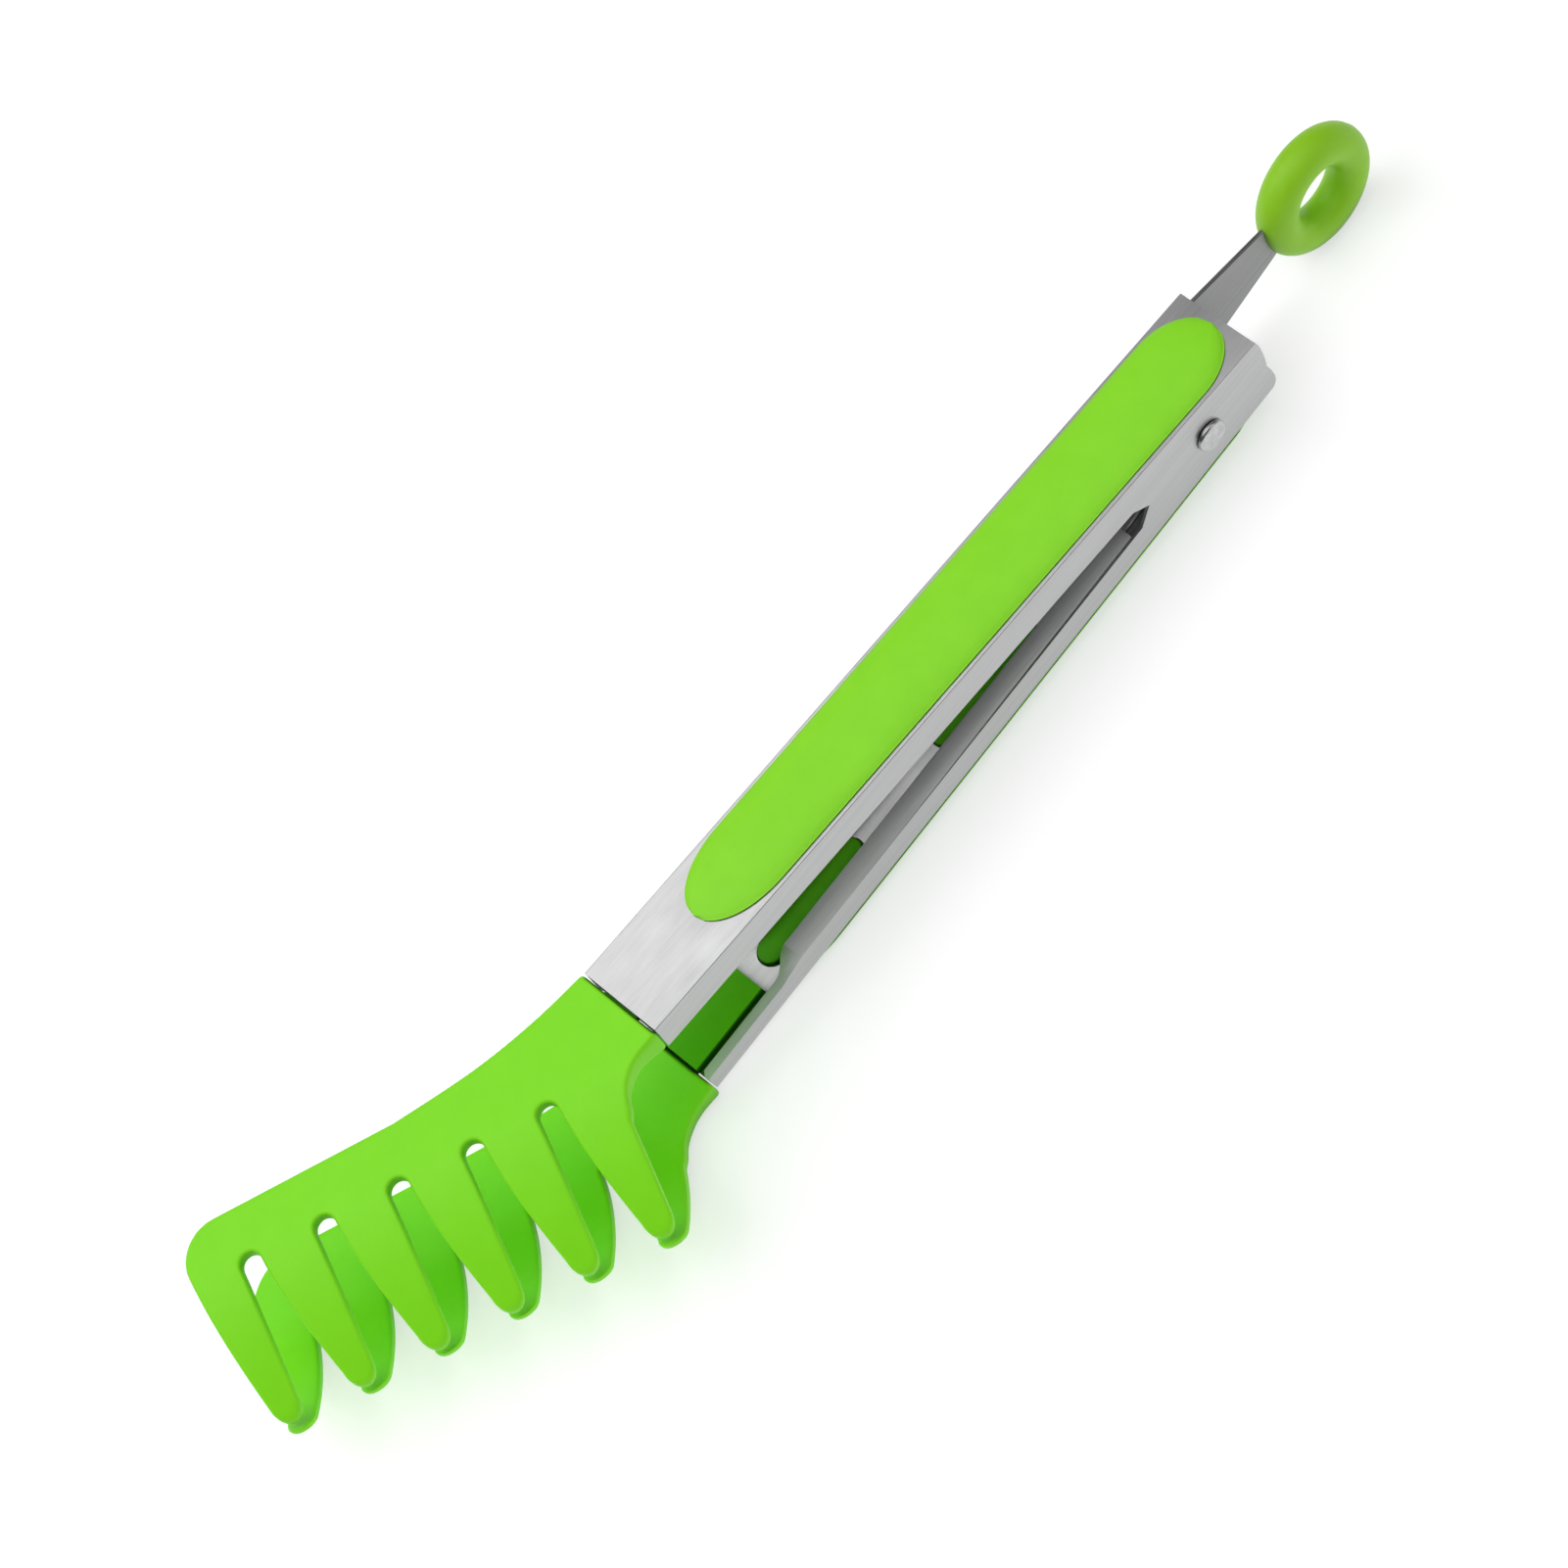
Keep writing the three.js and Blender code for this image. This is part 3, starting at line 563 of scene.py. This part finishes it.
def comb(side, root_depth, outline, place):
    """Comb head: plate cut to outline, thickened at its root, then curled and pitched."""
    bpy.ops.mesh.primitive_circle_add(vertices=len(outline), radius=1, fill_type="NGON")
    head = bpy.context.object
    for vertex, (x, y) in zip(head.data.vertices, outline):
        vertex.co = (x, y, 0)
    bpy.ops.object.mode_set(mode="EDIT")
    bpy.ops.mesh.select_all(action="SELECT")
    bpy.ops.mesh.extrude_region_move(TRANSFORM_OT_translate={"value": (0, 0, COMB_PLATE)})
    bpy.ops.object.mode_set(mode="OBJECT")
    recalculate_normals(head)
    apply_modifier(head, "BEVEL", width=COMB_EDGE, segments=3, limit_method="ANGLE",
                   angle_limit=math.radians(50))
    apply_modifier(head, "REMESH", mode="VOXEL", voxel_size=COMB_GRAIN)
    apply_modifier(head, "SMOOTH", factor=0.5, iterations=3)
    for vertex in head.data.vertices:
        x, y, z = vertex.co
        from_root = x - ARM_FRONT
        across = from_root * math.sin(COMB_TURN) + y * math.cos(COMB_TURN)
        run = max(0, across - ROOT_LINE) / (TINE_TIP - ROOT_LINE)
        depth = (1 - z / COMB_PLATE) * (COMB_PLATE + (TIP_THICKNESS - COMB_PLATE) * min(run, 1))
        if from_root < ROOT_RUN:
            share = 1 - from_root / ROOT_RUN
            depth *= 1 + (root_depth / COMB_PLATE - 1) * share ** 1.3
        drop = curl(across) + max(0, from_root) * COMB_PITCH
        vertex.co.z = WEB_HEIGHT - depth - drop
    recalculate_normals(head)
    pick_up(head)
    bpy.ops.object.shade_smooth()
    return into_place(head, f"{side}_comb_head", place,
                      COMB_GREEN, f"{side}_half", f"{side}_comb")


# ---- hinge, spring, lock --------------------------------------------------------------------


def rivet():
    """Pin with a domed head on the near side and a peened end on the washer."""
    near = UPPER_WIDTH / 2 + RIVET_GAP
    far = -(UPPER_WIDTH / 2 + RIVET_GAP + WASHER + RIVET_GAP)
    profile = [(0, far - 1), (1.6, far - 0.95), (2.3, far - 0.75), (2.68, far - 0.35),
               (PEENED_RADIUS, far),
               (PIN_RADIUS, far), (PIN_RADIUS, near), (RIVET_HEAD - 0.1, near),
               (RIVET_HEAD, near + 0.1), (RIVET_HEAD, near + 0.5), (RIVET_HEAD - 0.1, near + 0.75),
               (3.1, near + 1.0), (2.4, near + 1.2), (1.4, near + 1.3),
               (0, near + 1.35)]
    bpy.ops.mesh.primitive_circle_add(vertices=len(profile), radius=1, fill_type="NOTHING")
    pin = bpy.context.object
    for vertex, (radius, y) in zip(pin.data.vertices, profile):
        vertex.co = (radius, y, 0)
    bpy.ops.object.mode_set(mode="EDIT")
    bpy.ops.mesh.select_all(action="SELECT")
    bpy.ops.mesh.spin(steps=64, angle=2 * math.pi, center=(0, 0, 0), axis=(0, 1, 0), dupli=False)
    bpy.ops.mesh.select_all(action="SELECT")
    bpy.ops.mesh.remove_doubles(threshold=0.001)
    bpy.ops.object.mode_set(mode="OBJECT")
    recalculate_normals(pin)
    smooth(pin, 38)
    return into_place(pin, "rivet_pin", MIDDLE, RIVET, "hinge_set", "hinge_rivet")


def ring():
    """Moulded pull ring with its faint parting line."""
    bpy.ops.mesh.primitive_torus_add(major_segments=128, minor_segments=48,
                                     major_radius=RING_RADIUS, minor_radius=RING_SECTION,
                                     location=(0, 0, 0), rotation=(0, 0, 0))
    loop = bpy.context.object
    for vertex in loop.data.vertices:
        x, y, z = vertex.co
        reach = math.hypot(x, y)
        if abs(z) < RING_SEAM_HALF and reach > RING_RADIUS:
            vertex.co.x *= 1 + RING_SEAM / reach
            vertex.co.y *= 1 + RING_SEAM / reach
        vertex.co.z *= 0.985
    upright = Matrix.Rotation(math.pi / 2, 4, "X")
    loop.data.transform(Matrix.Translation((RING_AT, PLATE_SIDE, 0)) @ upright)
    smooth(loop, 60)
    return into_place(loop, "pull_ring", MIDDLE, RING_GREEN, "pull_tab", "hanging_ring")


def spring():
    """Torsion spring: the CAD's wire made round."""
    obj = own_copy("torsion_spring", "spring_wire")
    apply_modifier(obj, "SUBSURF", levels=1, render_levels=1)
    smooth(obj, 60)
    obj.data.materials.clear()
    obj.data.materials.append(WIRE)
    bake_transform(obj)
    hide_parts("torsion_spring")
    return obj


# ---- put together ---------------------------------------------------------------------------

arm("upper", UPPER_WIDTH, UPPER)
arm("lower", LOWER_WIDTH, LOWER)
for side, place in (("upper", UPPER), ("lower", LOWER)):
    grip(side, place)
    for number, start in enumerate(BOSS_STARTS, 1):
        grip_boss(side, start, number, place)
    softened(f"{side}_tang", f"{side}_tang_block", 0.3, NYLON, f"{side}_half")
comb("upper", UPPER_ROOT, comb_outline((0, 0, 0, 0, 0, 0), 8.5, 1.9, 1.1), UPPER)
comb("lower", LOWER_ROOT, comb_outline((1.1, 0.3, 0.1, 0, 0.3, 1.4), 12, -1.1, 0.5), LOWER)
rivet()
softened("rivet_washer", "washer", 0.12, RIVET, "hinge_set")
softened("spring_bush", "bush", 0.2, BUSH, "hinge_set")
softened("lock_plate", "stamped_plate", 0.1, PLATE, "pull_tab")
spring()
ring()

# ---- studio ---------------------------------------------------------------------------------


def floor():
    bpy.ops.mesh.primitive_plane_add(size=6, location=(0, 0, -0.0002))
    plane = bpy.context.object
    plane.name = "white_table"
    paint = Finish("white_table_paper")
    paint.shader.inputs["Roughness"].default_value = 0.9
    paint.shader.inputs["Specular IOR Level"].default_value = 0.1
    tone = paint.noise(paint.place, 3.0, 2.0)
    colour = paint.ramp(tone, [(0.3, (0.58, 0.58, 0.585)), (0.7, (0.61, 0.61, 0.615))])
    paint.join(colour, paint.shader.inputs["Base Color"])
    paint.shader.inputs["Emission Color"].default_value = (1, 1, 1, 1)
    paint.shader.inputs["Emission Strength"].default_value = 0.6
    plane.data.materials.append(paint.material)


def lamp(name, place, target, size, power):
    light = bpy.data.lights.new(name, "AREA")
    light.shape = "RECTANGLE"
    light.size, light.size_y = size
    light.energy = power
    obj = bpy.data.objects.new(name, light)
    bpy.context.scene.collection.objects.link(obj)
    obj.location = place
    obj.rotation_mode = "QUATERNION"
    obj.rotation_quaternion = (Vector(target) - Vector(place)).to_track_quat("-Z", "Y")


def from_arm(x, y, z):
    return UPPER @ Vector((x, y, z))


def camera():
    data = bpy.data.cameras.new("camera")
    data.lens = 130.4
    data.sensor_width = 36
    obj = bpy.data.objects.new("camera", data)
    bpy.context.scene.collection.objects.link(obj)
    eye = from_arm(227.2, 543.4, 939.5)
    aim = from_arm(106.0, -4.3, 10.1)
    back = (eye - aim).normalized()
    level = (from_arm(-0.6545, 0.6856, -0.3187) - from_arm(0, 0, 0)).normalized()
    across = (level - back * level.dot(back)).normalized()
    rise = back.cross(across)
    turned = Matrix((across, rise, back)).transposed().to_4x4()
    obj.matrix_world = Matrix.Translation(eye) @ turned
    data.clip_start = 0.01
    bpy.context.scene.camera = obj


floor()
camera()
middle = from_arm(60, 0, 0)
lamp("key_softbox", middle + Vector((0.62, -0.72, 1.25)), middle, (1.6, 1.4), 12.5)
lamp("top_softbox", middle + Vector((-0.15, 0.15, 1.5)), middle, (1.6, 1.6), 6.5)
lamp("side_card", middle + Vector((-0.9, 0.9, 0.6)), middle, (0.9, 0.7), 2)

world = bpy.data.worlds.new("studio")
bpy.context.scene.world = world
world.use_nodes = True
sky = world.node_tree
height = sky.nodes.new("ShaderNodeSeparateXYZ")
direction = sky.nodes.new("ShaderNodeTexCoord")
sky.links.new(direction.outputs["Generated"], height.inputs["Vector"])
dome = sky.nodes.new("ShaderNodeValToRGB")
sky.links.new(height.outputs["Z"], dome.inputs["Fac"])
dome.color_ramp.elements[0].position = 0.6
dome.color_ramp.elements[0].color = (0.05, 0.05, 0.05, 1)
dome.color_ramp.elements[1].position = 0.84
dome.color_ramp.elements[1].color = (1, 1, 1, 1)
hinge_end = sky.nodes.new("ShaderNodeMapRange")
hinge_end.inputs["From Min"].default_value = -0.4
hinge_end.inputs["From Max"].default_value = -0.02
hinge_end.inputs["To Min"].default_value = 0.35
sky.links.new(height.outputs["X"], hinge_end.inputs["Value"])
sky_tone = sky.nodes.new("ShaderNodeMix")
sky_tone.data_type = "RGBA"
sky_tone.blend_type = "MULTIPLY"
sky_tone.inputs["Factor"].default_value = 1
sky.links.new(dome.outputs["Color"], sky_tone.inputs[6])
sky.links.new(hinge_end.outputs["Result"], sky_tone.inputs[7])
sky.links.new(sky_tone.outputs[2], sky.nodes["Background"].inputs["Color"])
sky.nodes["Background"].inputs["Strength"].default_value = 0.6
bpy.context.scene.view_settings.view_transform = "Standard"
